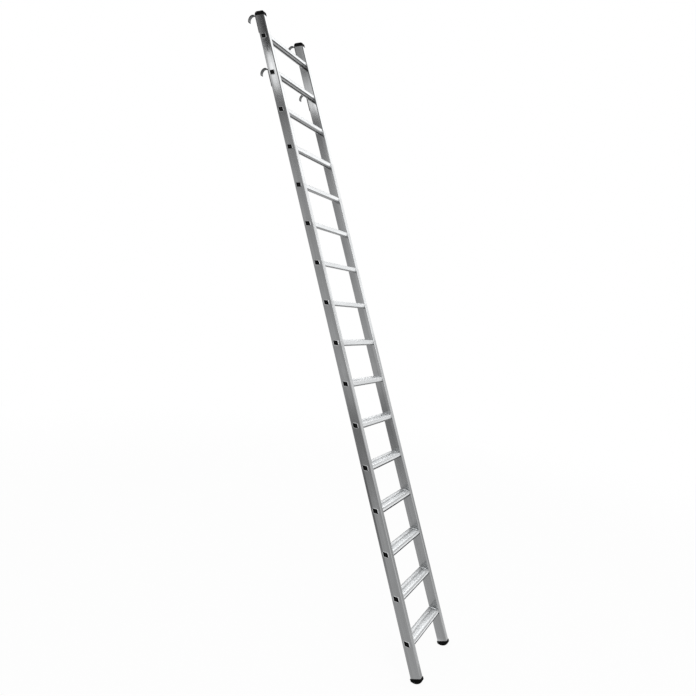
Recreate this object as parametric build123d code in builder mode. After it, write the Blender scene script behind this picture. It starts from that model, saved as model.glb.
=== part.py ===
from build123d import *
import os
from math import cos, radians, sin, tan

# Shelf ladder: two hollow stiles, swaged box treads, two pairs of rail hooks, caps and feet.
# X runs across the ladder, +Y towards the shelf and +Z up, in millimetres and degrees.
# It leans as it is used, with its treads level and its soles on the floor at z = 0.

# Ladder
TREAD_COUNT = 16
TREAD_PITCH = 250
FIRST_TREAD = 190
TOP_MARGIN = 140
LEAN = 22
OUTER_WIDTH = 474
SIDES = {"left": -1, "right": 1}

# Stile, a rectangular tube
STILE_DEPTH = 64
STILE_THICKNESS = 32
STILE_WALL = 2
STILE_CORNER = 5

# Tread extrusion, measured from the axis of its box chamber
CHAMBER_SETBACK = 3
CHAMBER_DEPTH = 32
CHAMBER_HEIGHT = 26
CHAMBER_CORNER = 5
TREAD_FRONT = 30
TREAD_REAR = 34
TREAD_WALL = 2
NOSING_RISE = 1
NOSING_DEPTH = 6
NOSING_RADIUS = 5
LIP_HEIGHT = 31
HEM_DEPTH = 6
HEM_HEIGHT = 8
HEM_RADIUS = 3
REAR_LIP_HEIGHT = 11
REAR_BEAD_DEPTH = 3
REAR_BEAD_RADIUS = 1
RIB_COUNT = 12
RIB_PITCH = 2.8
RIB_WIDTH = 1.4
RIB_RISE = 0.9
GROOVE_WIDTH = 1.6
GROOVE_DEPTH = 0.7
GROOVE_PLACES = (-21.5, 21.5)

# Swaged rims that lock a chamber to the inner and outer walls of a stile
RIM_FLARE = 2.5
RIM_TAPER = 35
OUTER_RIM = 1.6
INNER_RIM = 3
SWAGE_GAP = 0.1

# Plug in each end of a chamber
PLUG_LENGTH = 14
PLUG_FACE = 3
PLUG_WALL = 2
PLUG_GAP = 0.1
PLUG_CHAMFER = 1
DIMPLE_RADIUS = 2.5
DIMPLE_DEPTH = 0.8

# Moulded cap and foot, each with a stem inside the stile
OVERHANG = 1.5
STEM_LENGTH = 25
STEM_GAP = 0.2
STEM_WALL = 2.5
STEM_CORNER = 3.5
MOULDING_ROUND = 4
CAP_LAP = 8
CAP_LAP_GAP = 0.1
CAP_RISE = 17
CAP_END_ROUND = 15
FOOT_SIDE = 15
FOOT_CROWN = 28
SOLE_LAND = 0.6
SOLE_GROOVES = 6
SOLE_GROOVE_STEP = 12
SOLE_GROOVE_WIDTH = 2.5
SOLE_GROOVE_DEPTH = 1.5

# Hooks of flat strip on the stiles' rear faces
HOOK_WIDTH = 20
HOOK_STRIP = 5
HOOK_SHANK = 108
HOOK_SET_ANGLE = 30
HOOK_SET_RADIUS = 12
HOOK_SET_RUN = 9
RAIL_RADIUS = 25
RAIL_CLEARANCE = 0.4
HOOK_WRAP = 155
HOOK_END_ROUND = 5
UPPER_HOOK_RISE = 10
HOOK_PAIR_SPACING = 370

# Blind rivets through the hooks' shanks
RIVET_RADIUS = 2.4
RIVET_HOLE_RADIUS = 2.5
RIVET_HEAD_RADIUS = 4.8
RIVET_HEAD_RISE = 1.6
RIVET_HEAD_TAPER = 40
RIVET_BULB_RADIUS = 3.6
RIVET_BULB_LENGTH = 5
RIVET_PLACES = (45, 90)

# Worked out from the above
LEAN_SIN = sin(radians(LEAN))
LEAN_COS = cos(radians(LEAN))
LEAN_TAN = tan(radians(LEAN))
STILE_LENGTH = FIRST_TREAD + (TREAD_COUNT - 1) * TREAD_PITCH + TOP_MARGIN
STILE_X = (OUTER_WIDTH - STILE_THICKNESS) / 2
STILE_REAR = STILE_DEPTH / 2
STILE_TOP_RISE = STILE_DEPTH * LEAN_TAN
BORE_THICKNESS = STILE_THICKNESS - 2 * STILE_WALL
BORE_DEPTH = STILE_DEPTH - 2 * STILE_WALL
INNER_STOP = OUTER_WIDTH / 2 - STILE_THICKNESS - SWAGE_GAP
OUTER_STOP = OUTER_WIDTH / 2 + SWAGE_GAP
PLATE_TOP = CHAMBER_HEIGHT / 2
LIP_TOP = PLATE_TOP + NOSING_RISE
CHAMBER_FRONT_ANGLE = 90 - LEAN
CHAMBER_REAR_ANGLE = 90 + LEAN
PLUG_INSET = TREAD_WALL + PLUG_GAP
MOULDING_FRONT = -STILE_REAR - OVERHANG
MOULDING_REAR = STILE_REAR + OVERHANG
MOULDING_HALF_WIDTH = STILE_THICKNESS / 2 + OVERHANG
STEM_OUTLINE = (BORE_THICKNESS - 2 * STEM_GAP, BORE_DEPTH - 2 * STEM_GAP)
STEM_BORE = (STEM_OUTLINE[0] - 2 * STEM_WALL, STEM_OUTLINE[1] - 2 * STEM_WALL)

# The sole is one arc, and the lean brings it to the floor behind the stile's middle
SOLE_SAG = FOOT_CROWN - FOOT_SIDE
SOLE_RADIUS = (MOULDING_REAR**2 + SOLE_SAG**2) / (2 * SOLE_SAG)
SOLE_CENTRE = SOLE_RADIUS - FOOT_CROWN
SOLE_GROOVE_SPAN = (SOLE_GROOVES - 1) * SOLE_GROOVE_STEP
STILE_BOTTOM_Z = SOLE_RADIUS - SOLE_LAND - SOLE_CENTRE * LEAN_COS

# Each hook's shank ends where its bend starts, and its arc is about the rail's axis
HOOK_ARC = RAIL_RADIUS + RAIL_CLEARANCE + HOOK_STRIP / 2
SHANK_DEPTH = STILE_REAR + HOOK_STRIP / 2
SET_SIN = sin(radians(HOOK_SET_ANGLE))
SET_COS = cos(radians(HOOK_SET_ANGLE))
RAIL_DEPTH = SHANK_DEPTH + HOOK_SET_RADIUS * (1 - SET_COS) + HOOK_SET_RUN * SET_SIN + HOOK_ARC * SET_COS
RAIL_RISE = HOOK_SET_RADIUS * SET_SIN + HOOK_SET_RUN * SET_COS - HOOK_ARC * SET_SIN
UPPER_BEND = STILE_LENGTH + UPPER_HOOK_RISE
HOOK_BENDS = {"upper": UPPER_BEND, "lower": UPPER_BEND - HOOK_PAIR_SPACING}
RIVET_LENGTHS = [bend - place for bend in HOOK_BENDS.values() for place in RIVET_PLACES]

# The origin is midway between the foremost edge of the feet and the back of the upper hooks
FRONT_REACH = MOULDING_FRONT * LEAN_COS - FOOT_SIDE * LEAN_SIN
REAR_REACH = RAIL_DEPTH * LEAN_COS + (UPPER_BEND + RAIL_RISE) * LEAN_SIN + HOOK_ARC + HOOK_STRIP / 2
STILE_BOTTOM_Y = -(FRONT_REACH + REAR_REACH) / 2

# Ladder frame: x across, y from front to rear through a stile, z along it from its bottom end
ladder = Plane((0, STILE_BOTTOM_Y, STILE_BOTTOM_Z), x_dir=(1, 0, 0), z_dir=(0, LEAN_SIN, LEAN_COS))
top_cut = Plane(ladder.from_local_coords((0, -STILE_REAR, STILE_LENGTH)))
tread_centres = [
    ladder.from_local_coords((0, CHAMBER_SETBACK, FIRST_TREAD + step * TREAD_PITCH))
    for step in range(TREAD_COUNT)
]


def square_to_stile(across, length):
    """Plane square to a stile, with x across the ladder and y from front to rear."""
    return Plane(ladder.from_local_coords((across, 0, length)), x_dir=(1, 0, 0), z_dir=ladder.z_dir)


def side_of_stile(across):
    """Plane of a stile seen from the side, with x from front to rear and y along the stile."""
    return Plane(ladder.from_local_coords((across, 0, 0)), x_dir=ladder.y_dir, z_dir=(1, 0, 0))


def above_cut(depth, height):
    """Point of a side view at a depth in the stile and a height over its top cut."""
    return (depth, STILE_LENGTH + (depth + STILE_REAR) * LEAN_TAN + height / LEAN_COS)


def rear_of_stile(across):
    """Plane of a stile's rear face, with x along the stile and y across the ladder."""
    origin = ladder.from_local_coords((across, STILE_REAR, 0))
    return Plane(origin, x_dir=ladder.z_dir, z_dir=ladder.y_dir)


def level_section(across, centre):
    """Upright plane square to X, with x along +Y and y along +Z from a chamber's axis."""
    return Plane((across, centre.Y, centre.Z), x_dir=(0, 1, 0), z_dir=(1, 0, 0))


def leaning_box(margin):
    """Chamber's outline in a level section, its ends parallel to the stiles, grown all round by a margin."""
    depth = CHAMBER_DEPTH + 2 * margin / LEAN_COS
    height = CHAMBER_HEIGHT + 2 * margin
    return Trapezoid(depth + height * LEAN_TAN, height, CHAMBER_FRONT_ANGLE, CHAMBER_REAR_ANGLE)


def rounded_box(margin):
    """The same outline with rounded corners."""
    return fillet(leaning_box(margin).vertices(), CHAMBER_CORNER + margin)


chamber_outline = rounded_box(0)
hole_outline = rounded_box(SWAGE_GAP)
rim_outline = rounded_box(RIM_FLARE)
bore_outline = rounded_box(-TREAD_WALL)
plug_outline = rounded_box(-PLUG_INSET)
plug_hollow = rounded_box(-PLUG_INSET - PLUG_WALL)
under_plate = fillet(leaning_box(0).vertices().sort_by(Axis.Y)[:2], CHAMBER_CORNER)

os.makedirs("parts", exist_ok=True)

# Stiles: tubes cut level at the top, with a hole through both walls for each chamber and rivet holes
# at the rear
for side, sign in SIDES.items():
    with BuildPart() as stile:
        with BuildSketch(square_to_stile(sign * STILE_X, 0)):
            RectangleRounded(STILE_THICKNESS, STILE_DEPTH, STILE_CORNER)
            RectangleRounded(BORE_THICKNESS, BORE_DEPTH, STILE_CORNER - STILE_WALL, mode=Mode.SUBTRACT)
        extrude(amount=STILE_LENGTH + STILE_TOP_RISE)
        split(bisect_by=top_cut, keep=Keep.BOTTOM)
        with BuildSketch(Plane((sign * STILE_X, 0, 0), x_dir=(0, 1, 0), z_dir=(1, 0, 0))):
            with Locations(*[(centre.Y, centre.Z) for centre in tread_centres]):
                add(hole_outline)
        extrude(amount=STILE_THICKNESS, both=True, mode=Mode.SUBTRACT)
        with BuildSketch(rear_of_stile(sign * STILE_X)):
            with Locations(*[(length, 0) for length in RIVET_LENGTHS]):
                Circle(RIVET_HOLE_RADIUS)
        extrude(amount=-2 * STILE_WALL, mode=Mode.SUBTRACT)
    stile.part.label = f"{side}_stile"
    export_step(stile.part, f"parts/{side}_stile.step")

# Treads: a ribbed plate with a rounded nosing, a deep front lip and a short rear lip, over a chamber
# that goes on through both stiles and is swaged over their inner and outer walls
for number, centre in enumerate(tread_centres, start=1):
    with BuildPart() as tread:
        with BuildSketch(level_section(0, centre)) as profile:
            add(under_plate)
            with Locations((-TREAD_FRONT, PLATE_TOP)):
                Rectangle(TREAD_FRONT + TREAD_REAR, TREAD_WALL, align=(Align.MIN, Align.MAX))
            with Locations((-TREAD_FRONT, LIP_TOP)):
                Rectangle(TREAD_WALL, LIP_HEIGHT, align=(Align.MIN, Align.MAX))
                Rectangle(NOSING_DEPTH, TREAD_WALL, align=(Align.MIN, Align.MAX))
            with Locations((-TREAD_FRONT, LIP_TOP - LIP_HEIGHT)):
                Rectangle(HEM_DEPTH, HEM_HEIGHT, align=(Align.MIN, Align.MIN))
            with Locations((TREAD_REAR, LIP_TOP)):
                Rectangle(TREAD_WALL, REAR_LIP_HEIGHT, align=(Align.MAX, Align.MAX))
                Rectangle(REAR_BEAD_DEPTH, TREAD_WALL, align=(Align.MAX, Align.MAX))
            top_corners = profile.vertices().group_by(Axis.Y)[-1].sort_by(Axis.X)
            fillet(top_corners[0], NOSING_RADIUS)
            fillet(top_corners[-1], REAR_BEAD_RADIUS)
            hem_corner = profile.vertices().group_by(Axis.X)[0].sort_by(Axis.Y)[0]
            fillet(hem_corner, HEM_RADIUS)
            with Locations((0, PLATE_TOP)):
                with GridLocations(RIB_PITCH, 0, RIB_COUNT, 1):
                    Rectangle(RIB_WIDTH, 2 * RIB_RISE)
            with Locations(*[(place, PLATE_TOP) for place in GROOVE_PLACES]):
                Rectangle(GROOVE_WIDTH, 2 * GROOVE_DEPTH, mode=Mode.SUBTRACT)
        extrude(amount=INNER_STOP, both=True)
        with BuildSketch(level_section(0, centre)):
            add(chamber_outline)
        extrude(amount=OUTER_STOP, both=True)
        for sign in SIDES.values():
            with BuildSketch(level_section(sign * INNER_STOP, centre)):
                add(rim_outline)
            extrude(amount=-sign * INNER_RIM, taper=RIM_TAPER)
            with BuildSketch(level_section(sign * OUTER_STOP, centre)):
                add(rim_outline)
            extrude(amount=sign * OUTER_RIM, taper=RIM_TAPER)
        with BuildSketch(level_section(0, centre)):
            add(bore_outline)
        extrude(amount=OUTER_WIDTH, both=True, mode=Mode.SUBTRACT)
    tread.part.label = f"tread_{number:02d}"
    export_step(tread.part, f"parts/tread_{number:02d}.step")

# Plugs: shells pushed into the chambers' ends, flush with the outer rims, with a dimple in the face
plug_front = OUTER_STOP + OUTER_RIM
for side, sign in SIDES.items():
    for number, centre in enumerate(tread_centres, start=1):
        with BuildPart() as plug:
            with BuildSketch(level_section(sign * plug_front, centre)):
                add(plug_outline)
            extrude(amount=-sign * PLUG_LENGTH)
            chamfer(plug.faces().sort_by(Axis.X)[0 if sign < 0 else -1].edges(), PLUG_CHAMFER)
            with BuildSketch(level_section(sign * (plug_front - PLUG_LENGTH), centre)):
                add(plug_hollow)
            extrude(amount=sign * (PLUG_LENGTH - PLUG_FACE), mode=Mode.SUBTRACT)
            with BuildSketch(level_section(sign * plug_front, centre)):
                Circle(DIMPLE_RADIUS)
            extrude(amount=-sign * DIMPLE_DEPTH, mode=Mode.SUBTRACT)
        plug.part.label = f"{side}_plug_{number:02d}"
        export_step(plug.part, f"parts/{side}_plug_{number:02d}.step")

# Caps: level mouldings with rounded ends that sit on the stiles' top cuts and lap their walls, each
# with a stem inside the stile
for side, sign in SIDES.items():
    stem_start = square_to_stile(sign * STILE_X, STILE_LENGTH - STEM_LENGTH)
    with BuildPart() as socket:
        with BuildSketch(stem_start):
            RectangleRounded(
                STILE_THICKNESS + 2 * CAP_LAP_GAP,
                STILE_DEPTH + 2 * CAP_LAP_GAP,
                STILE_CORNER + CAP_LAP_GAP,
            )
        extrude(amount=STEM_LENGTH + 2 * STILE_TOP_RISE)
        split(bisect_by=top_cut, keep=Keep.BOTTOM)
    with BuildPart() as stem:
        with BuildSketch(stem_start):
            RectangleRounded(*STEM_OUTLINE, STEM_CORNER)
            Rectangle(*STEM_BORE, mode=Mode.SUBTRACT)
        extrude(amount=STEM_LENGTH + STILE_TOP_RISE)
        split(bisect_by=top_cut, keep=Keep.BOTTOM)
    with BuildPart() as cap:
        with BuildSketch(side_of_stile(sign * STILE_X)):
            with BuildLine():
                crown = FilletPolyline(
                    above_cut(MOULDING_FRONT, -CAP_LAP),
                    above_cut(MOULDING_FRONT, CAP_RISE),
                    above_cut(MOULDING_REAR, CAP_RISE),
                    above_cut(MOULDING_REAR, -CAP_LAP),
                    radius=CAP_END_ROUND,
                )
                Line(crown @ 1, crown @ 0)
            make_face()
        extrude(amount=MOULDING_HALF_WIDTH, both=True)
        flanks = cap.faces().sort_by(Axis.X)
        for flank in (flanks[0], flanks[-1]):
            fillet(flank.edges().sort_by(Axis.Z)[1:], MOULDING_ROUND)
        add(socket.part, mode=Mode.SUBTRACT)
        add(stem.part)
    cap.part.label = f"{side}_cap"
    export_step(cap.part, f"parts/{side}_cap.step")

# Feet: rounded, grooved soles on the stiles' bottom ends, with a small flat where they meet the floor
for side, sign in SIDES.items():
    with BuildPart() as foot:
        with BuildSketch(side_of_stile(sign * STILE_X)):
            with BuildLine():
                front = Line((MOULDING_FRONT, 0), (MOULDING_FRONT, -FOOT_SIDE))
                sole = ThreePointArc(front @ 1, (0, -FOOT_CROWN), (MOULDING_REAR, -FOOT_SIDE))
                Polyline(sole @ 1, (MOULDING_REAR, 0), front @ 0)
            make_face()
        extrude(amount=MOULDING_HALF_WIDTH, both=True)
        fillet(foot.edges().filter_by(GeomType.CIRCLE), MOULDING_ROUND)
        with BuildSketch(side_of_stile(sign * STILE_X)):
            with Locations((0, SOLE_CENTRE)):
                with PolarLocations(
                    SOLE_RADIUS,
                    SOLE_GROOVES,
                    start_angle=-90 - SOLE_GROOVE_SPAN / 2,
                    angular_range=SOLE_GROOVE_SPAN,
                    endpoint=True,
                ):
                    Rectangle(2 * SOLE_GROOVE_DEPTH, SOLE_GROOVE_WIDTH)
        extrude(amount=STILE_THICKNESS, both=True, mode=Mode.SUBTRACT)
        with BuildSketch(square_to_stile(sign * STILE_X, 0)):
            RectangleRounded(*STEM_OUTLINE, STEM_CORNER)
            Rectangle(*STEM_BORE, mode=Mode.SUBTRACT)
        extrude(amount=STEM_LENGTH)
        split(bisect_by=Plane.XY, keep=Keep.TOP)
    foot.part.label = f"{side}_foot"
    export_step(foot.part, f"parts/{side}_foot.step")

# Hooks: flat strip that runs up a stile's rear face, sets back from it and arches over a rail
for level, bend in HOOK_BENDS.items():
    for side, sign in SIDES.items():
        with BuildPart() as hook:
            with BuildSketch(side_of_stile(sign * STILE_X)):
                with BuildLine():
                    shank = Line((SHANK_DEPTH, bend - HOOK_SHANK), (SHANK_DEPTH, bend))
                    set_bend = JernArc(shank @ 1, shank % 1, HOOK_SET_RADIUS, -HOOK_SET_ANGLE)
                    run = Line(set_bend @ 1, set_bend @ 1 + (set_bend % 1) * HOOK_SET_RUN)
                    JernArc(run @ 1, run % 1, HOOK_ARC, -HOOK_WRAP)
                trace(line_width=HOOK_STRIP)
            extrude(amount=HOOK_WIDTH / 2, both=True)
            through_strip = Axis(ladder.origin, ladder.y_dir)
            fillet(hook.edges().filter_by(through_strip), HOOK_END_ROUND)
            with BuildSketch(rear_of_stile(sign * STILE_X)):
                with Locations(*[(bend - place, 0) for place in RIVET_PLACES]):
                    Circle(RIVET_HOLE_RADIUS)
            extrude(amount=HOOK_STRIP, mode=Mode.SUBTRACT)
        hook.part.label = f"{level}_{side}_hook"
        export_step(hook.part, f"parts/{level}_{side}_hook.step")

# Rivets: a head on the strip, a body through strip and wall, and a bulb inside the stile
with BuildPart() as hook_rivets:
    for sign in SIDES.values():
        rear_face = rear_of_stile(sign * STILE_X)
        places = [(length, 0) for length in RIVET_LENGTHS]
        with BuildSketch(rear_face.offset(HOOK_STRIP)):
            with Locations(*places):
                Circle(RIVET_HEAD_RADIUS)
        extrude(amount=RIVET_HEAD_RISE, taper=RIVET_HEAD_TAPER)
        with BuildSketch(rear_face.offset(-STILE_WALL)):
            with Locations(*places):
                Circle(RIVET_RADIUS)
        extrude(amount=HOOK_STRIP + STILE_WALL)
        with BuildSketch(rear_face.offset(-STILE_WALL)):
            with Locations(*places):
                Circle(RIVET_BULB_RADIUS)
        extrude(amount=-RIVET_BULB_LENGTH)
hook_rivets.part.label = "hook_rivets"
export_step(hook_rivets.part, "parts/hook_rivets.step")

# Where the ladder meets a rail and the floor
for level, bend in HOOK_BENDS.items():
    print(level, "rail axis", ladder.from_local_coords((0, RAIL_DEPTH, bend + RAIL_RISE)))
print("sole contact", ladder.from_local_coords((0, 0, SOLE_CENTRE)))
print("tread axes", tread_centres[0], tread_centres[-1])
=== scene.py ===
"""Looks of the shelf ladder: finishes, small repeated details, studio and camera on the fixed CAD frame."""

from math import cos, pi, radians, sin, tan
from types import SimpleNamespace

import bmesh
import bpy
from mathutils import Matrix, Vector


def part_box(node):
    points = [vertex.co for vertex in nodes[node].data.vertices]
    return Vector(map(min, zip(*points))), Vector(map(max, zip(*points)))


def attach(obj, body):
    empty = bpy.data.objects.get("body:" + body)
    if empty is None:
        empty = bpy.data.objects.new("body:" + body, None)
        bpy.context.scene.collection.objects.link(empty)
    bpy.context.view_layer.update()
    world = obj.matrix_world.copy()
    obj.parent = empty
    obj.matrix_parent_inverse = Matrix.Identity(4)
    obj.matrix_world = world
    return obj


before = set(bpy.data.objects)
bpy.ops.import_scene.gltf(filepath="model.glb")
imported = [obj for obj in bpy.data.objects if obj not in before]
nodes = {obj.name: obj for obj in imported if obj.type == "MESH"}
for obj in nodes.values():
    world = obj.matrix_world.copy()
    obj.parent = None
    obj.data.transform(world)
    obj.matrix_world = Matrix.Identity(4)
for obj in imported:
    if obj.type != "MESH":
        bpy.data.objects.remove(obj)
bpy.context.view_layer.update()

# Driving sizes, in metres and radians
MM = 0.001
LEAN = radians(22)
QUARTER = radians(90)
STILE_DEPTH = 64 * MM
STILE_THICKNESS = 32 * MM
TREAD_COUNT = 16
TREAD_FRONT = 30 * MM
TREAD_REAR = 34 * MM

# Rolled edges of the swaged rims. Their middles stand off a stile's face by a share of their radius.
RIM_DEPTH = 36.5 * MM
RIM_HEIGHT = 30.2 * MM
RIM_CORNER = 7.1 * MM
RIM_LEAN = RIM_HEIGHT * tan(LEAN)
OUTER_ROLL = 0.8 * MM
INNER_ROLL = 1.1 * MM
ROLL_STAND = 0.6
CORNER_STEPS = 6
BEAD_SIDES = 8

# Crowns of the tread ribs
RIB_COUNT = 12
RIB_PITCH = 2.8 * MM
RIB_TOP = 13.9 * MM
CROWN_HALF_WIDTH = 0.68 * MM
CROWN_RISE = 0.3 * MM
CROWN_SIDES = 10

# Moulded ring and pip in each plug's face
PLUG_RING_RADIUS = 3.4 * MM
PLUG_RING_BEAD = 0.35 * MM
PLUG_PIP_RADIUS = 2.1 * MM
PLUG_PIP_RISE = 0.75 * MM

# Rivets, counted up a stile from the lower hook's shank
RIVET_STEP = 45 * MM
HOOK_STEP = 370 * MM
LOWEST_RIVET = 3630 * MM
RIVET_FACE = 38.6 * MM
RIVET_DOME_RADIUS = 3.4 * MM
RIVET_DOME_RISE = 0.7 * MM
RIVET_PIN_RADIUS = 1.3 * MM
RIVET_PIN_RISE = 1.0 * MM
DOME_SEGMENTS = 20
DOME_RINGS = 10

# Camera, where the photograph was taken from
CAMERA_PLACE = Vector((-3.112, -1.701, 2.073))
CAMERA_AIM = Vector((-0.002, -0.021, 1.785))
CAMERA_ROLL = radians(6.02)
CAMERA_LENS = 28.93

# Tint of the greys, and white
GREY_TINT = (0.985, 1.0, 1.01)
WHITE = (1, 1, 1, 1)

# Noise: the part of its range that a change of shade or gloss is spread over
COLOUR_SPREAD = (0.36, 0.64)
GLOSS_SPREAD = (0.34, 0.66)
MOTTLE_SPREAD = (0.35, 0.65)
WIDE_SPREAD = (0.3, 0.7)
STAIN_SPREAD = (0.5, 0.75)
SCUFF_SPREAD = (0.48, 0.75)

# Stile finish: lines, bands and stains. A bump is a strength and a depth.
STILE_LINES = (900, 900, 1.5)
STILE_BANDS = (70, 70, 0.9)
STILE_LINE_SHARE = 0.45
STILE_SHADES = (0.38, 0.47)
STILE_ROUGHNESS = (0.22, 0.14)
STILE_BUMP = (0.12, 0.4 * MM)
STAIN_SCALE = 14.0
STAIN_SHARE = 0.25
STAIN_SHADE = 0.34
STAIN_ADDED_ROUGHNESS = 0.18

# Painted shade and highlights on the stiles, up a stile in metres and from its middle to the rear. Two
# numbers run from none to full, and a zone's four from its start to full, to last full and to its end. A
# share is how far a shade covers.
# Painted shade that darkens up each bay between two treads
BAY_REACH = (0.15, 0.95)
BAY_CLIMB = (1.4, 2.0)
BAY_SHARE = 0.5
BAY_PAINTED_SHADE = 0.31
# Painted shade on the left stile's rear edge, low down and near the top
REAR_SHADE_ZONE = (0.3, 0.9, 1.05, 1.35)
REAR_SHADE_TOP_ZONE = (3.54, 3.62, 3.8, 3.88)
REAR_SHADE_TOP_SHARE = 0.8
REAR_SHADE_DEPTH = (12 * MM, 20 * MM)
REAR_SHADE_SHARE = 0.9
DARK_REAR_SHADE = 0.17
# Painted highlight along the front of the inner faces
FRONT_HIGHLIGHT_CLIMB = (0.9, 1.6)
FRONT_HIGHLIGHT_DEPTH = (-6 * MM, -18 * MM)
FRONT_HIGHLIGHT_SHARE = 0.6
FRONT_HIGHLIGHT_GREY = 0.58
# Painted shade on the inner faces near the top
INNER_TOP_SHADE_ZONE = (3.62, 3.72, 3.88, 3.96)
INNER_TOP_SHADE_SHARE = 0.85
INNER_TOP_GREY = 0.2
# Painted shadow lines along the corners of the upper end
CORNER_ZONE = (26.5 * MM, 28.5 * MM, 31 * MM, 31.8 * MM)
CORNER_CLIMB = (3.2, 3.5)
CORNER_SHARE = 0.85
CORNER_SHADE = 0.08
SMOOTH_CLIMB = (3.1, 3.45)
SMOOTH_SHARE = 0.45

# Tread finish: lines and cloud
TREAD_LINES = (2.2, 900, 900)
TREAD_CLOUD = (5, 60, 60)
TREAD_LINE_SHARE = 0.6
TREAD_SHADES = (0.74, 0.84)
TREAD_ROUGHNESS = (0.56, 0.46)
TREAD_BUMP = (0.1, 0.4 * MM)
TREAD_SPECULAR = 0.5

# Dirt and painted shade between the ribs and in the grooves of a tread's top, from the tread's axis
RIBBED_DEPTH = (17.2 * MM, 16.8 * MM)
VALLEY_HEIGHT = (13.7 * MM, 13.0 * MM)
GROOVE_HEIGHT = (12.8 * MM, 12.4 * MM)
HOLLOW_FLOOR = (11.9 * MM, 12.1 * MM)
HOLLOW_DIRT_AND_SHADE_SHARES = (0.1, 0.35)
HOLLOW_DIRT_AND_SHADE = 0.4

# Painted shade and highlights on the low treads' tops: shades from the front to the rear edge, and reaches
# in from a tread's ends
LOW_CLIMB = (1.6, 0.95)
TOP_LIGHT_SHADES = {
    0.0: 0.97, 0.2: 0.97, 0.31: 0.86, 0.47: 0.84, 0.56: 0.6,
    0.62: 0.6, 0.69: 0.82, 0.81: 0.82, 0.9: 0.6, 1.0: 0.4,
}
TOP_HEIGHT = (9 * MM, 10 * MM)
TOP_LIGHT_SHARE = 0.85
# Painted shadow near a tread's ends, and a painted highlight on the cut edge by the stiles
END_SHADOW_REACH = (22 * MM, 9 * MM)
END_SHADOW_SHARE = 0.6
END_SHADOW_GREY = 0.3
CUT_HIGHLIGHT_REACH = (9 * MM, 7 * MM)
CUT_HIGHLIGHT_GREY = 0.97

# Painted shade at a tread's front edge: nosing, hem under the lip, and the fold above the hem as fade, full
# and middle
NOSING_DEPTH = (-23.5 * MM, -25.5 * MM)
NOSING_HEIGHT = (6.5 * MM, 8.5 * MM)
NOSING_CLIMB = (0.95, 1.35)
NOSING_SHARES = (1.0, 0.35)
NOSING_SHADE = 0.5
HEM_HEIGHT = (-7.5 * MM, -9.5 * MM)
HEM_DEPTH = (-22 * MM, -24 * MM)
HEM_GROWTH = 3 * MM
HEM_SHADE = 0.25
LOW_HEM_SHADE = 0.07
FOLD_HEIGHT = (5.5 * MM, 3.5 * MM, -8.5 * MM)
FOLD_DEPTH = (-26 * MM, -28 * MM)
FOLD_CLIMB = (3.0, 3.5)
FOLD_SHADE = 0.06

# Painted shade under a tread, with a painted shadow behind its lip as fade, full and middle, and rims
# outside the stiles
UNDER_FACING = (-0.15, -0.7)
UNDER_DEPTH = (3 * MM, 8 * MM)
UNDER_SHADES = (0.42, 0.62)
LIP_SHADOW_DEPTH = (9 * MM, 5 * MM, -6 * MM)
LIP_SHADOW_CLIMB = (2.6, 3.0)
LIP_SHADOW_GREY = 0.02
# Painted shade that darkens the rims high up
RIM_CLIMB = (2.1, 2.8)
RIM_SHADES = (0.82, 0.42)
RIM_ADDED_ROUGHNESS = -0.26
RIM_EDGE = 0.2 * MM
SEAM_DEPTH = (15.6 * MM, 15.2 * MM)
SEAM_HEIGHT = (13.2 * MM, 12.8 * MM)
SEAM_SHADE = 0.01

# Hook finish, with painted shade on the narrow faces that look sideways
HOOK_LINES = (700, 60, 20)
HOOK_LINE_SHARE = 0.4
HOOK_MOTTLE = 120.0
HOOK_SHADES = (0.09, 0.22)
HOOK_ROUGHNESS = (0.42, 0.28)
HOOK_SPECULAR_TINT = 0.4
HOOK_BUMP = (0.12, 0.3 * MM)
SIDEWAYS_SHADE_FACING = (0.4, 0.8)
SIDEWAYS_SHADE_GREY = 0.03

# Mouldings and small plain metal pieces
MOULDINGS = {
    "black_plastic": {"shades": (0.0025, 0.005), "roughness": (0.45, 0.6), "grain": 1800.0, "shine": 0.05},
    "black_rubber": {"shades": (0.003, 0.007), "roughness": (0.6, 0.8), "grain": 900.0, "shine": 0.06},
    "plug_pip": {"shades": (0.02, 0.04), "roughness": (0.2, 0.35), "grain": 1200.0, "shine": 0.3},
}
PLAIN_METALS = {
    "rivet_aluminium": {"shades": (0.5, 0.62), "roughness": (0.42, 0.28)},
    "rivet_pin_steel": {"shades": (0.22, 0.32), "roughness": (0.45, 0.3)},
}
SCUFF_SCALE = 60.0
GRAIN_BUMP = (0.25, 0.3 * MM)
PLAIN_MOTTLE = 400.0

# Studio floor and backdrop
FLOOR_SIZE = 60.0
FLOOR_SHADE = 0.88
FLOOR_ROUGHNESS = 0.9
FLOOR_GLOW = 0.94
UNDER_FLOOR = -1.0
SHADOW_REACH = (2.5, 7.0)
WORLD_FILL = 0.75

# Lamps, by the brightness of their faces
SOFT_BOXES = {
    "key_light": {
        "place": (-2.26, -2.9, 4.7), "aim": (-0.24, 0, 2.0), "width": 3.0, "height": 3.0, "radiance": 1.9,
    },
    "tread_light": {
        "place": (3.8, 1.35, 2.75), "aim": (0, 1.35, 2.75), "width": 2.4, "height": 1.3, "radiance": 1.3,
    },
}

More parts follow.
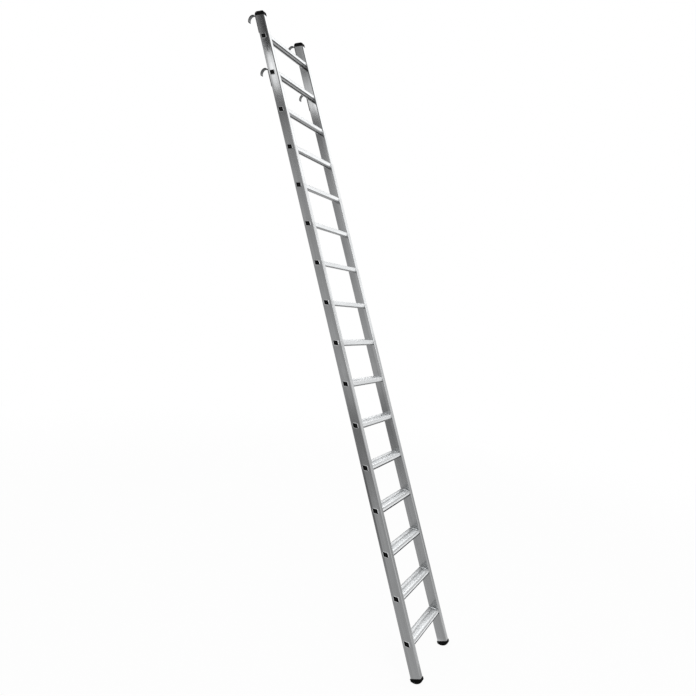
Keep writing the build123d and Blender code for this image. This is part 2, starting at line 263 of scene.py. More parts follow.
# Boards that the metal reflects: upright ones with shades by height, and plain ones low down and at the top
UPRIGHT_BOARDS = {
    "flange_board": {
        "place": (3.8, -0.85, 5.6),
        "size": (2.3, 5.4),
        "shades": {0.0: 1.75, 0.6: 1.95, 2.0: 1.9, 3.0: 2.2, 5.4: 2.3},
    },
    "low_front_board": {
        "place": (3.8, -2.75, 1.45),
        "size": (1.7, 2.9),
        "shades": {0.0: 0.55, 0.6: 0.55, 1.3: 0.82, 2.0: 1.15, 2.9: 1.65},
    },
    "rear_board": {
        "place": (3.85, 4.0, 1.0),
        "size": (4.0, 2.05),
        "shades": {0.0: 0.5, 2.05: 0.6},
    },
    "left_board": {
        "place": (-3.6, 2.2, 3.5),
        "size": (8.0, 7.0),
        "shades": {
            0.0: 0.4, 0.25: 0.34, 0.45: 0.24, 0.65: 0.28, 0.85: 0.5, 1.05: 0.64, 3.4: 0.62, 4.3: 0.48,
            4.6: 0.32, 4.78: 0.38, 4.88: 1.5, 4.96: 2.0, 5.2: 2.0, 5.3: 1.5, 5.42: 0.7, 5.6: 0.5, 7.0: 0.5,
        },
    },
}
FLOOR_BOARDS = {
    "front_floor_board": {"place": (2.05, -2.55, 1 * MM), "size": (3.5, 2.1), "shade": 0.68},
    "left_floor_board": {"place": (-1.3, 0.6, 1 * MM), "size": (2.9, 3.8), "shade": 0.66},
    "left_edge_board": {"place": (-3.2, 0.6, 1 * MM), "size": (0.9, 3.8), "shade": 0.45},
}
TOP_CARD = {"place": (-1.2, 1.464, 4.4), "size": (0.2, 0.62), "shade": 0.1, "lean": LEAN}


def box_middle(node):
    """Middle of a CAD node's box."""
    low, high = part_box(node)
    return (low + high) / 2


# Worked out from the frame: the stiles' faces, the middle of their bottom ends, and the treads' axes
stile_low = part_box("left_stile")[0]
DEPTH_AXIS = Vector((0, cos(LEAN), -sin(LEAN)))
ALONG_AXIS = Vector((0, sin(LEAN), cos(LEAN)))
HALF_DEPTH = STILE_DEPTH / 2
FOOT = Vector((0, stile_low.y + HALF_DEPTH * cos(LEAN), stile_low.z + HALF_DEPTH * sin(LEAN)))
OUTER_FACE = -stile_low.x
INNER_FACE = OUTER_FACE - STILE_THICKNESS
STILE_X = OUTER_FACE - STILE_THICKNESS / 2
INSIDE_REACH = (INNER_FACE + 7 * MM, INNER_FACE + 1 * MM)
LEFT_OUTSIDE_REACH = (-INNER_FACE + 5 * MM, -OUTER_FACE + 7 * MM)
OUTSIDE_REACH = (OUTER_FACE - RIM_EDGE, OUTER_FACE + RIM_EDGE)
first_plug = box_middle("left_plug_01")
last_plug = box_middle("left_plug_16")
FIRST_AXIS = Vector((0, first_plug.y, first_plug.z))
TREAD_STEP = (last_plug - first_plug) / (TREAD_COUNT - 1)
PITCH = TREAD_STEP.length
FIRST_ALONG = (FIRST_AXIS - FOOT).dot(ALONG_AXIS)
PLUG_FACE = -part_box("left_plug_01")[0].x


def ladder_point(across, depth, along):
    """Point given across the ladder, from front to rear through a stile, and up along it."""
    return FOOT + Vector((across, 0, 0)) + depth * DEPTH_AXIS + along * ALONG_AXIS


# Node helpers


def add(tree, kind, inputs=None, **settings):
    """New node of a tree, with its settings, and with its inputs set to values or linked to sockets."""
    node = tree.nodes.new(kind)
    for name, value in settings.items():
        setattr(node, name, value)
    for key, value in (inputs or {}).items():
        if isinstance(value, bpy.types.NodeSocket):
            tree.links.new(value, node.inputs[key])
        else:
            node.inputs[key].default_value = value
    return node


def maths(tree, operation, first, second=0.0, third=0.0):
    """Result of one Math node."""
    return add(tree, "ShaderNodeMath", {0: first, 1: second, 2: third}, operation=operation).outputs[0]


def overlap(tree, *masks):
    """Masks and shares multiplied together."""
    result = masks[0]
    for mask in masks[1:]:
        result = maths(tree, "MULTIPLY", result, mask)
    return result


def ease(tree, value, start, stop, low=0.0, high=1.0):
    """Smooth step of a value from low at start to high at stop."""
    inputs = {"Value": value, "From Min": start, "From Max": stop, "To Min": low, "To Max": high}
    return add(tree, "ShaderNodeMapRange", inputs, interpolation_type="SMOOTHSTEP").outputs["Result"]


def within(tree, value, start, full, last, end):
    """Mask of a zone that eases in from its start and out to its end."""
    return overlap(tree, ease(tree, value, start, full), ease(tree, value, end, last))


def near(tree, value, fade, full, middle=0.0):
    """Mask of a strip about a middle, full out to one distance and faded out at another."""
    distance = maths(tree, "ABSOLUTE", maths(tree, "SUBTRACT", value, middle))
    return ease(tree, distance, fade, full)


def noise(tree, vector, scale=1.0, detail=3.0, roughness=0.5):
    """Noise between 0 and 1."""
    inputs = {"Vector": vector, "Scale": scale, "Detail": detail, "Roughness": roughness}
    return add(tree, "ShaderNodeTexNoise", inputs).outputs["Fac"]


def stretched(tree, vector, stretch):
    """Coordinates scaled by a different amount on each axis."""
    return add(tree, "ShaderNodeMapping", {"Vector": vector, "Scale": stretch}).outputs["Vector"]


def drawn_lines(tree, vector, stretch):
    """Fine noise drawn out into lines."""
    return noise(tree, stretched(tree, vector, stretch), detail=4.0, roughness=0.6)


def mixed(tree, first, second, share):
    """Two noises added up, with this share of the first."""
    return maths(tree, "MULTIPLY_ADD", first, share, maths(tree, "MULTIPLY", second, 1 - share))


def grey(level):
    """Neutral metal grey, a touch cooler than pure grey."""
    return tuple(level * part for part in GREY_TINT)


def blend_colours(tree, factor, first, second):
    """Colour between two colours or colour sockets."""
    node = add(tree, "ShaderNodeMix", {0: factor}, data_type="RGBA")
    for socket, colour in ((node.inputs[6], first), (node.inputs[7], second)):
        if isinstance(colour, bpy.types.NodeSocket):
            tree.links.new(colour, socket)
        else:
            socket.default_value = (*colour, 1.0)
    return node.outputs[2]


def cover(tree, colour, shade, *masks):
    """Colour with a grey over it where all the masks overlap."""
    return blend_colours(tree, overlap(tree, *masks), colour, grey(shade))


def shaded(tree, value, reach, shades):
    """Grey that changes from one shade to another over a value's reach."""
    return blend_colours(tree, ease(tree, value, *reach), grey(shades[0]), grey(shades[1]))


def colour_ramp(tree, share, colours):
    """Colour that follows a dictionary of share: colour, eased from one to the next."""
    ramp = add(tree, "ShaderNodeValToRGB", {"Fac": share})
    ramp.color_ramp.interpolation = "EASE"
    stops = ramp.color_ramp.elements
    while len(stops) < len(colours):
        stops.new(0.5)
    for stop, (place, colour) in zip(stops, colours.items()):
        stop.position = place
        stop.color = (*colour, 1.0)
    return ramp.outputs["Color"]


def bump(tree, height, strength, distance):
    """Normal from a height."""
    inputs = {"Height": height, "Strength": strength, "Distance": distance}
    return add(tree, "ShaderNodeBump", inputs).outputs["Normal"]


def new_finish(name):
    """New material, its node tree and its shader."""
    material = bpy.data.materials.new(name)
    material.use_nodes = True
    tree = material.node_tree
    return material, tree, tree.nodes["Principled BSDF"]


def set_shader(tree, shader, **sockets):
    """Set or link a shader's sockets, written with underscores for spaces."""
    for name, value in sockets.items():
        socket = shader.inputs[name.replace("_", " ")]
        if isinstance(value, bpy.types.NodeSocket):
            tree.links.new(value, socket)
        elif isinstance(value, tuple):
            socket.default_value = (*value, 1.0)
        else:
            socket.default_value = value


def split(tree, vector):
    """The three parts of a vector."""
    return add(tree, "ShaderNodeSeparateXYZ", {0: vector}).outputs


def object_coordinates(tree):
    """Place on the object, in the row frame."""
    return add(tree, "ShaderNodeTexCoord").outputs["Object"]


def centred(tree, middle):
    """Place on the object, from a middle."""
    inputs = {0: object_coordinates(tree), 1: middle}
    return add(tree, "ShaderNodeVectorMath", inputs, operation="SUBTRACT").outputs[0]


def facing_part(tree, axis):
    """How far a surface faces along an axis."""
    return split(tree, add(tree, "ShaderNodeNewGeometry").outputs["Normal"])[axis]


def ladder_coordinates(tree):
    """Place on the object as across, depth and along, from the middle of the stiles' bottom ends."""
    inputs = {"Vector": centred(tree, FOOT), "Rotation": (LEAN, 0, 0)}
    return add(tree, "ShaderNodeMapping", inputs).outputs["Vector"]


def tread_spot(tree):
    """Across, depth and height about the axis of the tread that a point is on, and how high up that is."""
    parts = split(tree, centred(tree, FIRST_AXIS))
    step = maths(tree, "ROUND", maths(tree, "DIVIDE", parts["Z"], TREAD_STEP.z))
    high_up = split(tree, object_coordinates(tree))["Z"]
    return SimpleNamespace(
        across=maths(tree, "ABSOLUTE", parts["X"]),
        depth=maths(tree, "SUBTRACT", parts["Y"], maths(tree, "MULTIPLY", step, TREAD_STEP.y)),
        height=maths(tree, "SUBTRACT", parts["Z"], maths(tree, "MULTIPLY", step, TREAD_STEP.z)),
        high_up=high_up,
        low_down=ease(tree, high_up, *LOW_CLIMB),
    )


# Finishes


def stile_finish():
    """Drawn aluminium tube: lengthwise lines, soft bands, stains, and painted shade and highlights on its
    faces.
    """
    material, tree, shader = new_finish("stile_aluminium")
    place = ladder_coordinates(tree)
    across, depth, along = split(tree, place)
    lines = drawn_lines(tree, place, STILE_LINES)
    bands = noise(tree, stretched(tree, place, STILE_BANDS), detail=2.0)
    streaks = mixed(tree, lines, bands, STILE_LINE_SHARE)
    colour = shaded(tree, streaks, COLOUR_SPREAD, STILE_SHADES)

    # Painted shade that darkens up each bay between two treads, and stains
    bay = maths(tree, "FRACT", maths(tree, "DIVIDE", maths(tree, "SUBTRACT", along, FIRST_ALONG), PITCH))
    fading = ease(tree, bay, *BAY_REACH)
    colour = cover(tree, colour, BAY_PAINTED_SHADE, fading, ease(tree, along, *BAY_CLIMB), BAY_SHARE)
    film = overlap(tree, ease(tree, noise(tree, place, STAIN_SCALE), *STAIN_SPREAD), STAIN_SHARE)
    colour = cover(tree, colour, STAIN_SHADE, film)

    # Painted shade on the rear edge of the left stile's outer face, low down and near the top
    top_patch = overlap(tree, within(tree, along, *REAR_SHADE_TOP_ZONE), REAR_SHADE_TOP_SHARE)
    patch = maths(tree, "MAXIMUM", within(tree, along, *REAR_SHADE_ZONE), top_patch)
    edge = overlap(tree, ease(tree, depth, *REAR_SHADE_DEPTH), ease(tree, across, *LEFT_OUTSIDE_REACH))
    colour = cover(tree, colour, DARK_REAR_SHADE, patch, edge, REAR_SHADE_SHARE)

    # Inner faces: a painted highlight along the front, and painted shade near the top
    inside = ease(tree, maths(tree, "ABSOLUTE", across), *INSIDE_REACH)
    front_highlight = overlap(tree, ease(tree, depth, *FRONT_HIGHLIGHT_DEPTH), FRONT_HIGHLIGHT_SHARE)
    colour = cover(tree, colour, FRONT_HIGHLIGHT_GREY, inside, ease(tree, along, *FRONT_HIGHLIGHT_CLIMB), front_highlight)
    colour = cover(tree, colour, INNER_TOP_GREY, within(tree, along, *INNER_TOP_SHADE_ZONE), inside, INNER_TOP_SHADE_SHARE)

    # Painted shadow: dark lines along the corners of the upper end
    corner = within(tree, maths(tree, "ABSOLUTE", depth), *CORNER_ZONE)
    colour = cover(tree, colour, CORNER_SHADE, corner, ease(tree, along, *CORNER_CLIMB), CORNER_SHARE)

    gloss = ease(tree, streaks, *GLOSS_SPREAD, *STILE_ROUGHNESS)
    worn = maths(tree, "MULTIPLY_ADD", film, STAIN_ADDED_ROUGHNESS, gloss)
    roughness = overlap(tree, worn, ease(tree, along, *SMOOTH_CLIMB, 1.0, SMOOTH_SHARE))
    set_shader(tree, shader, Base_Color=colour, Metallic=1.0, Roughness=roughness)
    set_shader(tree, shader, Normal=bump(tree, lines, *STILE_BUMP))
    return material


def dirt_and_shade_in_hollows(tree, spot, cloud, colour):
    """Dirt and painted shade between the ribs and in the grooves of a tread's top."""
    ribbed = near(tree, spot.depth, *RIBBED_DEPTH)
    valley = overlap(tree, ribbed, ease(tree, spot.height, *VALLEY_HEIGHT))
    groove = ease(tree, spot.height, *GROOVE_HEIGHT)
    above_floor = ease(tree, spot.height, *HOLLOW_FLOOR)
    hollow = overlap(tree, maths(tree, "MAXIMUM", valley, groove), above_floor)
    return cover(tree, colour, HOLLOW_DIRT_AND_SHADE, hollow, ease(tree, cloud, *WIDE_SPREAD, *HOLLOW_DIRT_AND_SHADE_SHARES))


def painted_top_light(tree, spot, colour):
    """Painted bands of shade and highlight on low treads' tops, painted shadow near their ends, highlights
    by the stiles.
    """
    back = maths(tree, "DIVIDE", maths(tree, "ADD", spot.depth, TREAD_FRONT), TREAD_FRONT + TREAD_REAR)
    bands = colour_ramp(tree, back, {place: grey(shade) for place, shade in TOP_LIGHT_SHADES.items()})
    colour = blend_colours(tree, overlap(tree, spot.low_down, TOP_LIGHT_SHARE), colour, bands)
    from_end = maths(tree, "SUBTRACT", INNER_FACE, spot.across)
    on_top = overlap(tree, spot.low_down, ease(tree, spot.height, *TOP_HEIGHT))
    colour = cover(tree, colour, END_SHADOW_GREY, ease(tree, from_end, *END_SHADOW_REACH), END_SHADOW_SHARE, on_top)
    return cover(tree, colour, CUT_HIGHLIGHT_GREY, ease(tree, from_end, *CUT_HIGHLIGHT_REACH), on_top)


def lip_hem(tree, spot):
    """Mask of the hem along the bottom of a tread's front lip, taller on the low treads."""
    lowered = maths(tree, "MULTIPLY_ADD", spot.low_down, -HEM_GROWTH, spot.height)
    return overlap(tree, ease(tree, lowered, *HEM_HEIGHT), ease(tree, spot.depth, *HEM_DEPTH))


def front_edge(tree, spot, hem, colour):
    """Painted shade: a line along the nosing, a dark hem, and the dark fold above it on the high treads."""
    nosing = overlap(tree, ease(tree, spot.depth, *NOSING_DEPTH), ease(tree, spot.height, *NOSING_HEIGHT))
    lined = ease(tree, spot.high_up, *NOSING_CLIMB, *NOSING_SHARES)
    colour = cover(tree, colour, NOSING_SHADE, nosing, lined)
    hem_shade = blend_colours(tree, spot.low_down, grey(HEM_SHADE), grey(LOW_HEM_SHADE))
    colour = blend_colours(tree, hem, colour, hem_shade)
    fold = overlap(tree, near(tree, spot.height, *FOLD_HEIGHT), ease(tree, spot.depth, *FOLD_DEPTH))
    return cover(tree, colour, FOLD_SHADE, fold, ease(tree, spot.high_up, *FOLD_CLIMB))


def shaded_underside(tree, spot, colour):
    """Painted shade on the underside, darker to the front, and a painted shadow behind the high treads'
    lips.
    """
    shade = shaded(tree, spot.depth, UNDER_DEPTH, UNDER_SHADES)
    behind_lip = near(tree, spot.depth, *LIP_SHADOW_DEPTH)
    shade = cover(tree, shade, LIP_SHADOW_GREY, behind_lip, ease(tree, spot.high_up, *LIP_SHADOW_CLIMB))
    return blend_colours(tree, ease(tree, facing_part(tree, "Z"), *UNDER_FACING), colour, shade)


def outer_rims(tree, spot, outside, colour):
    """Rims outside the stiles, with painted shade that darkens them high up, and a dark seam about each
    plug.
    """
    colour = blend_colours(tree, outside, colour, shaded(tree, spot.high_up, RIM_CLIMB, RIM_SHADES))
    leaning = maths(tree, "MULTIPLY_ADD", spot.height, -tan(LEAN), spot.depth)
    seam = overlap(tree, near(tree, leaning, *SEAM_DEPTH), near(tree, spot.height, *SEAM_HEIGHT))
    return cover(tree, colour, SEAM_SHADE, seam, outside)


def tread_finish():
    """Bright extruded aluminium: lines along the tread, dirt, and painted shade and highlights on tops,
    hem, underside and rims.
    """
    material, tree, shader = new_finish("tread_aluminium")
    spot = tread_spot(tree)
    place = object_coordinates(tree)
    lines = drawn_lines(tree, place, TREAD_LINES)
    cloud = noise(tree, stretched(tree, place, TREAD_CLOUD))
    streaks = mixed(tree, lines, cloud, TREAD_LINE_SHARE)
    hem = lip_hem(tree, spot)
    outside = ease(tree, spot.across, *OUTSIDE_REACH)
    colour = shaded(tree, streaks, COLOUR_SPREAD, TREAD_SHADES)
    colour = dirt_and_shade_in_hollows(tree, spot, cloud, colour)
    colour = painted_top_light(tree, spot, colour)
    colour = front_edge(tree, spot, hem, colour)
    colour = shaded_underside(tree, spot, colour)
    colour = outer_rims(tree, spot, outside, colour)
    gloss = ease(tree, streaks, *GLOSS_SPREAD, *TREAD_ROUGHNESS)
    roughness = maths(tree, "MULTIPLY_ADD", outside, RIM_ADDED_ROUGHNESS, gloss)
    # Painted shade: the low treads' hem is black and not metal
    unshaded_metal = maths(tree, "SUBTRACT", 1.0, overlap(tree, hem, spot.low_down))
    specular = overlap(tree, unshaded_metal, TREAD_SPECULAR)
    set_shader(tree, shader, Base_Color=colour, Metallic=unshaded_metal, Roughness=roughness)
    set_shader(tree, shader, Specular_IOR_Level=specular, Normal=bump(tree, lines, *TREAD_BUMP))
    return material


def moulded_finish(name, shades, roughness, grain, shine):
    """Black moulding with a fine spark-eroded grain and paler scuffs in patches."""
    material, tree, shader = new_finish(name)
    place = object_coordinates(tree)
    scuffs = noise(tree, place, SCUFF_SCALE, detail=6.0, roughness=0.65)
    colour = shaded(tree, scuffs, SCUFF_SPREAD, shades)
    worn = ease(tree, scuffs, *WIDE_SPREAD, *roughness)
    set_shader(tree, shader, Base_Color=colour, Roughness=worn, Specular_IOR_Level=shine)
    set_shader(tree, shader, Normal=bump(tree, noise(tree, place, grain, detail=2.0), *GRAIN_BUMP))
    return material


def hook_finish():
    """Zinc-plated strip: mottled grey with faint draw lines, and painted shade on its sideways faces."""
    material, tree, shader = new_finish("hook_steel")
    place = ladder_coordinates(tree)
    lines = drawn_lines(tree, place, HOOK_LINES)
    mottle = mixed(tree, lines, noise(tree, place, HOOK_MOTTLE, detail=4.0), HOOK_LINE_SHARE)
    colour = shaded(tree, mottle, MOTTLE_SPREAD, HOOK_SHADES)
    # Painted shade on the faces that look sideways
    sideways = maths(tree, "ABSOLUTE", facing_part(tree, "X"))
    colour = cover(tree, colour, SIDEWAYS_SHADE_GREY, ease(tree, sideways, *SIDEWAYS_SHADE_FACING))
    roughness = ease(tree, mottle, *MOTTLE_SPREAD, *HOOK_ROUGHNESS)
    set_shader(tree, shader, Base_Color=colour, Metallic=1.0, Roughness=roughness)
    set_shader(tree, shader, Specular_Tint=grey(HOOK_SPECULAR_TINT), Normal=bump(tree, lines, *HOOK_BUMP))
    return material


def plain_metal(name, shades, roughness):
    """Small turned or headed metal piece with a fine mottle."""
    material, tree, shader = new_finish(name)
    mottle = noise(tree, object_coordinates(tree), PLAIN_MOTTLE, detail=4.0)
    colour = shaded(tree, mottle, MOTTLE_SPREAD, shades)
    mottled = ease(tree, mottle, *MOTTLE_SPREAD, *roughness)
    set_shader(tree, shader, Base_Color=colour, Metallic=1.0, Roughness=mottled)
    return material


moulded = {name: moulded_finish(name, **look) for name, look in MOULDINGS.items()}
plain = {name: plain_metal(name, **look) for name, look in PLAIN_METALS.items()}
FINISHES = {
    "stile": stile_finish(),
    "tread": tread_finish(),
    "plug": moulded["black_plastic"],
    "cap": moulded["black_plastic"],
    "foot": moulded["black_rubber"],
    "hook": hook_finish(),
    "rivets": plain["rivet_aluminium"],
}

for name, node in nodes.items():
    kind = next(word for word in reversed(name.split("_")) if word in FINISHES)
    node.data.materials.clear()
    node.data.materials.append(FINISHES[kind])


# Repeated details, grown by geometry trees


def new_tree(name, inputs):
    """Geometry tree with one geometry output and named inputs, and the sockets of its inputs."""
    tree = bpy.data.node_groups.new(name, "GeometryNodeTree")
    tree.interface.new_socket("Geometry", in_out="OUTPUT", socket_type="NodeSocketGeometry")
    for label, kind in inputs.items():
        tree.interface.new_socket(label, in_out="INPUT", socket_type="NodeSocket" + kind)
    return tree, tree.nodes.new("NodeGroupInput").outputs


def end_tree(tree, instances, finish):
    """Close a tree: instances made real, shaded smooth and given their finish."""
    real = add(tree, "GeometryNodeRealizeInstances", {"Geometry": instances}).outputs[0]
    smooth = add(tree, "GeometryNodeSetShadeSmooth", {"Geometry": real}).outputs[0]
    painted = add(tree, "GeometryNodeSetMaterial", {"Geometry": smooth, "Material": finish}).outputs[0]
    tree.links.new(painted, tree.nodes.new("NodeGroupOutput").inputs[0])


def point_row(tree, count, start, step):
    """Row of points."""
    inputs = {"Count": count, "Start Location": start, "Offset": step}
    return add(tree, "GeometryNodeMeshLine", inputs, mode="OFFSET").outputs[0]


def on_points(tree, points, instance):
    """Instance of a shape on each point."""
    return add(tree, "GeometryNodeInstanceOnPoints", {"Points": points, "Instance": instance}).outputs[0]


def spread(tree, points, count, start, step):
    """The same points again at each place of a row, as real points."""
    copies = on_points(tree, point_row(tree, count, start, step), points)
    return add(tree, "GeometryNodeRealizeInstances", {"Geometry": copies}).outputs[0]


def turned(tree, shape, turn, size=(1, 1, 1)):
    """Shape scaled and turned."""
    inputs = {"Geometry": shape, "Rotation": turn, "Scale": size}
    return add(tree, "GeometryNodeTransform", inputs).outputs[0]


def vector_of(tree, x=0.0, y=0.0, z=0.0):
    """Vector made of three numbers or sockets."""
    return add(tree, "ShaderNodeCombineXYZ", {0: x, 1: y, 2: z}).outputs[0]


ROW_INPUTS = {"Tread Count": "Int", "First Axis": "Vector", "Tread Step": "Vector"}


def ring_tree():
    """Round bead on a rounded, leaning box, one about each tread's axis in two planes across the ladder."""
    measures = {name: "Float" for name in ("Place", "Depth", "Height", "Lean", "Corner", "Bead")}
    tree, given = new_tree("rings", {**ROW_INPUTS, **measures, "Finish": "Material"})
    box = {"Width": given["Depth"], "Height": given["Height"], "Offset": given["Lean"]}
    outline = add(tree, "GeometryNodeCurvePrimitiveQuadrilateral", box, mode="PARALLELOGRAM").outputs[0]
    corners = {"Curve": outline, "Radius": given["Corner"], "Count": CORNER_STEPS}
    rounded = add(tree, "GeometryNodeFilletCurve", corners, mode="POLY").outputs[0]
    circle = {"Resolution": BEAD_SIDES, "Radius": given["Bead"]}
    section = add(tree, "GeometryNodeCurvePrimitiveCircle", circle).outputs[0]
    bead = add(tree, "GeometryNodeCurveToMesh", {"Curve": rounded, "Profile Curve": section}).outputs[0]
    upright = turned(tree, bead, (QUARTER, 0, QUARTER))
    axes = point_row(tree, given["Tread Count"], given["First Axis"], given["Tread Step"])
    left = vector_of(tree, x=maths(tree, "MULTIPLY", given["Place"], -1.0))
    width = vector_of(tree, x=maths(tree, "MULTIPLY", given["Place"], 2.0))
    both_sides = spread(tree, axes, 2, left, width)
    end_tree(tree, on_points(tree, both_sides, upright), given["Finish"])
    return tree


def crown_tree():
    """Low round crown along every rib of every tread."""
    row = {"Rib Count": "Int", "First Rib": "Vector", "Rib Pitch": "Float", "Length": "Float"}
    section = {"Half Width": "Float", "Rise": "Float"}
    tree, given = new_tree("crowns", {**ROW_INPUTS, **row, **section, "Finish": "Material"})
    unit_rod = {"Vertices": CROWN_SIDES, "Radius": 1.0, "Depth": 1.0}
    rod = add(tree, "GeometryNodeMeshCylinder", unit_rod).outputs[0]
    size = vector_of(tree, given["Rise"], given["Half Width"], given["Length"])
    crown = turned(tree, rod, (0, QUARTER, 0), size)
    ribs = point_row(tree, given["Rib Count"], given["First Rib"], vector_of(tree, y=given["Rib Pitch"]))
    every = spread(tree, ribs, given["Tread Count"], given["First Axis"], given["Tread Step"])
    end_tree(tree, on_points(tree, every, crown), given["Finish"])
    return tree


def dome_tree():
    """Low dome at each point of a row that is repeated along the ladder and across it."""
    rows = {}
    for label in ("Near", "Along", "Across"):
        rows[label + " Count"] = "Int"
        rows[label + " Step"] = "Vector"
    measures = {"Start": "Vector", "Radius": "Float", "Rise": "Float", "Turn": "Vector"}
    tree, given = new_tree("domes", {**rows, **measures, "Finish": "Material"})
    unit_ball = {"Segments": DOME_SEGMENTS, "Rings": DOME_RINGS, "Radius": 1.0}
    ball = add(tree, "GeometryNodeMeshUVSphere", unit_ball).outputs[0]
    size = vector_of(tree, given["Radius"], given["Radius"], given["Rise"])
    dome = turned(tree, ball, given["Turn"], size)
    points = point_row(tree, given["Near Count"], given["Start"], given["Near Step"])
    for label in ("Along", "Across"):
        points = spread(tree, points, given[label + " Count"], (0, 0, 0), given[label + " Step"])
    end_tree(tree, on_points(tree, points, dome), given["Finish"])
    return tree


def grow(name, tree, values):
    """Run a tree with these inputs and keep what it makes as a plain mesh that rides on the ladder."""
    piece = bpy.data.objects.new(name, bpy.data.meshes.new(name))
    modifier = piece.modifiers.new(name, "NODES")
    modifier.node_group = tree
    for socket in tree.interface.items_tree:
        if socket.in_out == "INPUT":
            modifier[socket.identifier] = values[socket.name]
    bpy.context.scene.collection.objects.link(piece)
    grown = piece.evaluated_get(bpy.context.evaluated_depsgraph_get())
    mesh = bpy.data.meshes.new_from_object(grown)
    piece.modifiers.clear()
    piece.data = mesh
    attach(piece, "root")


# Rolls of the rims on both faces of each stile, and the rings in the plugs
TREAD_ROW = {"Tread Count": TREAD_COUNT, "First Axis": FIRST_AXIS, "Tread Step": TREAD_STEP}
rings = ring_tree()
rim = {
    **TREAD_ROW, "Depth": RIM_DEPTH, "Height": RIM_HEIGHT, "Lean": RIM_LEAN, "Corner": RIM_CORNER,
    "Finish": FINISHES["tread"],
}
outer_roll = {"Place": OUTER_FACE + ROLL_STAND * OUTER_ROLL, "Bead": OUTER_ROLL}
inner_roll = {"Place": INNER_FACE - ROLL_STAND * INNER_ROLL, "Bead": INNER_ROLL}
plug_ring = {
    **TREAD_ROW, "Depth": 2 * PLUG_RING_RADIUS, "Height": 2 * PLUG_RING_RADIUS, "Lean": 0.0,
    "Corner": PLUG_RING_RADIUS, "Place": PLUG_FACE - PLUG_RING_BEAD, "Bead": PLUG_RING_BEAD,
    "Finish": FINISHES["plug"],
}
grow("outer_rim_rolls", rings, {**rim, **outer_roll})
grow("inner_rim_rolls", rings, {**rim, **inner_roll})
grow("plug_rings", rings, plug_ring)

# Crowns of the ribs
ribs = {
    **TREAD_ROW,
    "Rib Count": RIB_COUNT,
    "First Rib": Vector((0, -(RIB_COUNT - 1) / 2 * RIB_PITCH, RIB_TOP)),
    "Rib Pitch": RIB_PITCH,
    "Length": 2 * INNER_FACE,
    "Half Width": CROWN_HALF_WIDTH,
    "Rise": CROWN_RISE,
    "Finish": FINISHES["tread"],
}
grow("rib_crowns", crown_tree(), ribs)

# Domes and pins of the rivets: two to a hook, two hooks to a stile
domes = dome_tree()
rivet_rows = {
    "Near Count": 2,
    "Near Step": RIVET_STEP * ALONG_AXIS,
    "Along Count": 2,
    "Along Step": HOOK_STEP * ALONG_AXIS,
    "Across Count": 2,
    "Across Step": Vector((2 * STILE_X, 0, 0)),
    "Start": ladder_point(-STILE_X, RIVET_FACE, LOWEST_RIVET),
    "Turn": (-QUARTER - LEAN, 0, 0),
}
dome = {"Radius": RIVET_DOME_RADIUS, "Rise": RIVET_DOME_RISE, "Finish": plain["rivet_aluminium"]}
pin = {"Radius": RIVET_PIN_RADIUS, "Rise": RIVET_PIN_RISE, "Finish": plain["rivet_pin_steel"]}
grow("rivet_domes", domes, {**rivet_rows, **dome})
grow("rivet_pins", domes, {**rivet_rows, **pin})

# Pips in the plugs
PIP_PLACE = PLUG_FACE - PLUG_PIP_RISE
pips = {
    "Near Count": TREAD_COUNT,
    "Near Step": TREAD_STEP,
    "Along Count": 1,
    "Along Step": Vector((0, 0, 0)),
    "Across Count": 2,
    "Across Step": Vector((2 * PIP_PLACE, 0, 0)),
    "Start": FIRST_AXIS - Vector((PIP_PLACE, 0, 0)),
    "Turn": (0, QUARTER, 0),
    "Radius": PLUG_PIP_RADIUS,
    "Rise": PLUG_PIP_RISE,
    "Finish": moulded["plug_pip"],
}
grow("plug_pips", domes, pips)


# Studio


def seen_rays(tree):
    """1 for rays from the camera, mirrored or passed on, and 0 for the light that falls on things."""
    path = add(tree, "ShaderNodeLightPath").outputs
    either = maths(tree, "MAXIMUM", path["Is Camera Ray"], path["Is Glossy Ray"])
    return maths(tree, "MAXIMUM", either, path["Is Transmission Ray"])


def build_world():
    """White backdrop, with a softer white light on the ladder."""
    world = bpy.data.worlds.new("studio")
    bpy.context.scene.world = world
    world.use_nodes = True
    tree = world.node_tree
    tree.nodes.clear()
    fill = add(tree, "ShaderNodeBackground", {"Color": WHITE, "Strength": WORLD_FILL}).outputs[0]
    white = add(tree, "ShaderNodeBackground", {"Color": WHITE, "Strength": 1.0}).outputs[0]
    seen = add(tree, "ShaderNodeMixShader", {0: seen_rays(tree), 1: fill, 2: white}).outputs[0]
    add(tree, "ShaderNodeOutputWorld", {"Surface": seen})


def stage_plane(name, width, height):
    """Plane that is part of the studio."""
    mesh = bpy.data.meshes.new(name)
    shape = bmesh.new()
    corners = ((-1, -1), (1, -1), (1, 1), (-1, 1))
    shape.faces.new([shape.verts.new((x * width / 2, y * height / 2, 0)) for x, y in corners])
    shape.to_mesh(mesh)
    shape.free()
    plane = bpy.data.objects.new(name, mesh)
    bpy.context.scene.collection.objects.link(plane)
    return plane


def show(tree, surface):
    """Make this the surface of a studio piece."""
    tree.links.new(surface, tree.nodes["Material Output"].inputs["Surface"])


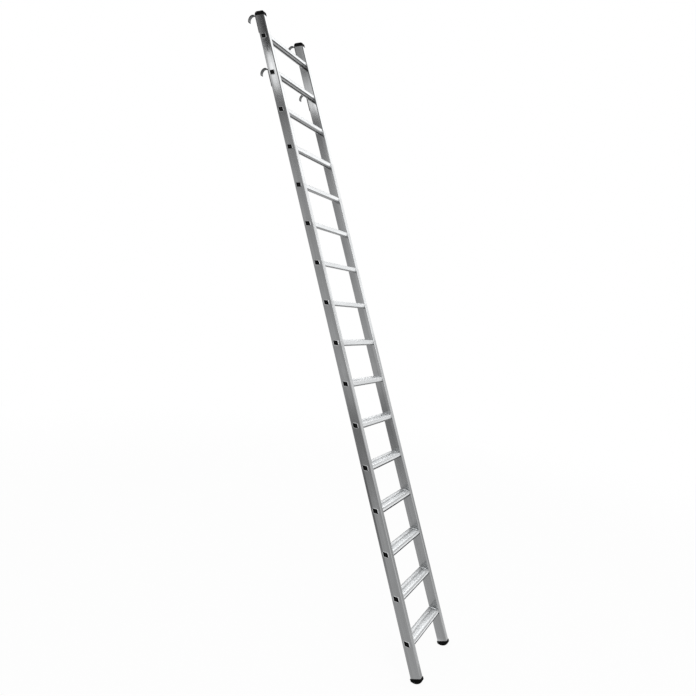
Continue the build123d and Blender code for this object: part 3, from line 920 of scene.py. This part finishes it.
def build_floor():
    """Pale floor that runs out into the white backdrop and keeps the ladder's shadow."""
    floor = stage_plane("floor", FLOOR_SIZE, FLOOR_SIZE)
    material, tree, shader = new_finish("pale_floor")
    set_shader(tree, shader, Base_Color=(FLOOR_SHADE,) * 3)
    set_shader(tree, shader, Roughness=FLOOR_ROUGHNESS, Specular_IOR_Level=0.0)
    glow = add(tree, "ShaderNodeEmission", {"Color": WHITE, "Strength": 1.0}).outputs[0]
    place = object_coordinates(tree)
    distance = add(tree, "ShaderNodeVectorMath", {0: place}, operation="LENGTH").outputs["Value"]
    seen = overlap(tree, seen_rays(tree), ease(tree, distance, *SHADOW_REACH, FLOOR_GLOW, 1.0))
    show(tree, add(tree, "ShaderNodeMixShader", {0: seen, 1: shader.outputs[0], 2: glow}).outputs[0])
    floor.data.materials.append(material)


def facing(place, aim):
    """Turn that points a lamp, a board or a camera at a place and keeps it upright."""
    return (Vector(aim) - Vector(place)).to_track_quat("-Z", "Y").to_matrix().to_4x4()


def soft_box(name, place, aim, width, height, radiance):
    """Large soft lamp whose face has this brightness."""
    lamp = bpy.data.lights.new(name, "AREA")
    lamp.shape = "RECTANGLE"
    lamp.size = width
    lamp.size_y = height
    lamp.energy = radiance * pi * width * height
    light = bpy.data.objects.new(name, lamp)
    light.matrix_world = Matrix.Translation(place) @ facing(place, aim)
    light.visible_camera = False
    bpy.context.scene.collection.objects.link(light)


def reflected_board(name, place, aim, size, lean=0.0):
    """Board that shows only in the metal, as the node tree and the white glow of its face."""
    board = stage_plane(name, *size)
    board.matrix_world = Matrix.Translation(place) @ facing(place, aim) @ Matrix.Rotation(lean, 4, "Z")
    board.visible_camera = False
    board.visible_diffuse = False
    board.visible_shadow = False
    material, tree = new_finish(name)[:2]
    board.data.materials.append(material)
    glow = add(tree, "ShaderNodeEmission", {"Color": WHITE})
    show(tree, glow.outputs[0])
    return tree, glow


def upright_board(name, place, size, shades):
    """Reflected board that faces the ladder, its shades given as height: shade from its lower edge up."""
    tree, glow = reflected_board(name, place, (0, *place[1:]), size)
    height = size[1]
    brightest = max(shades.values())
    colours = {level / height: (shade / brightest,) * 3 for level, shade in shades.items()}
    up = maths(tree, "ADD", split(tree, object_coordinates(tree))["Y"], height / 2)
    tree.links.new(colour_ramp(tree, maths(tree, "DIVIDE", up, height), colours), glow.inputs["Color"])
    glow.inputs["Strength"].default_value = brightest


def plain_board(name, place, aim, size, shade, lean=0.0):
    """Reflected board of one shade."""
    glow = reflected_board(name, place, aim, size, lean)[1]
    glow.inputs["Strength"].default_value = shade


def build_camera():
    """Camera at the photograph's place, aim, roll and field of view."""
    data = bpy.data.cameras.new("camera")
    data.lens = CAMERA_LENS
    camera = bpy.data.objects.new("camera", data)
    roll = Matrix.Rotation(CAMERA_ROLL, 4, "Z")
    camera.matrix_world = Matrix.Translation(CAMERA_PLACE) @ facing(CAMERA_PLACE, CAMERA_AIM) @ roll
    bpy.context.scene.collection.objects.link(camera)
    bpy.context.scene.camera = camera


build_world()
build_floor()
for name, lamp in SOFT_BOXES.items():
    soft_box(name, **lamp)
for name, board in UPRIGHT_BOARDS.items():
    upright_board(name, **board)
for name, board in FLOOR_BOARDS.items():
    plain_board(name, aim=(*board["place"][:2], UNDER_FLOOR), **board)
plain_board("top_card", aim=(0, *TOP_CARD["place"][1:]), **TOP_CARD)
build_camera()
bpy.context.scene.view_settings.view_transform = "Standard"
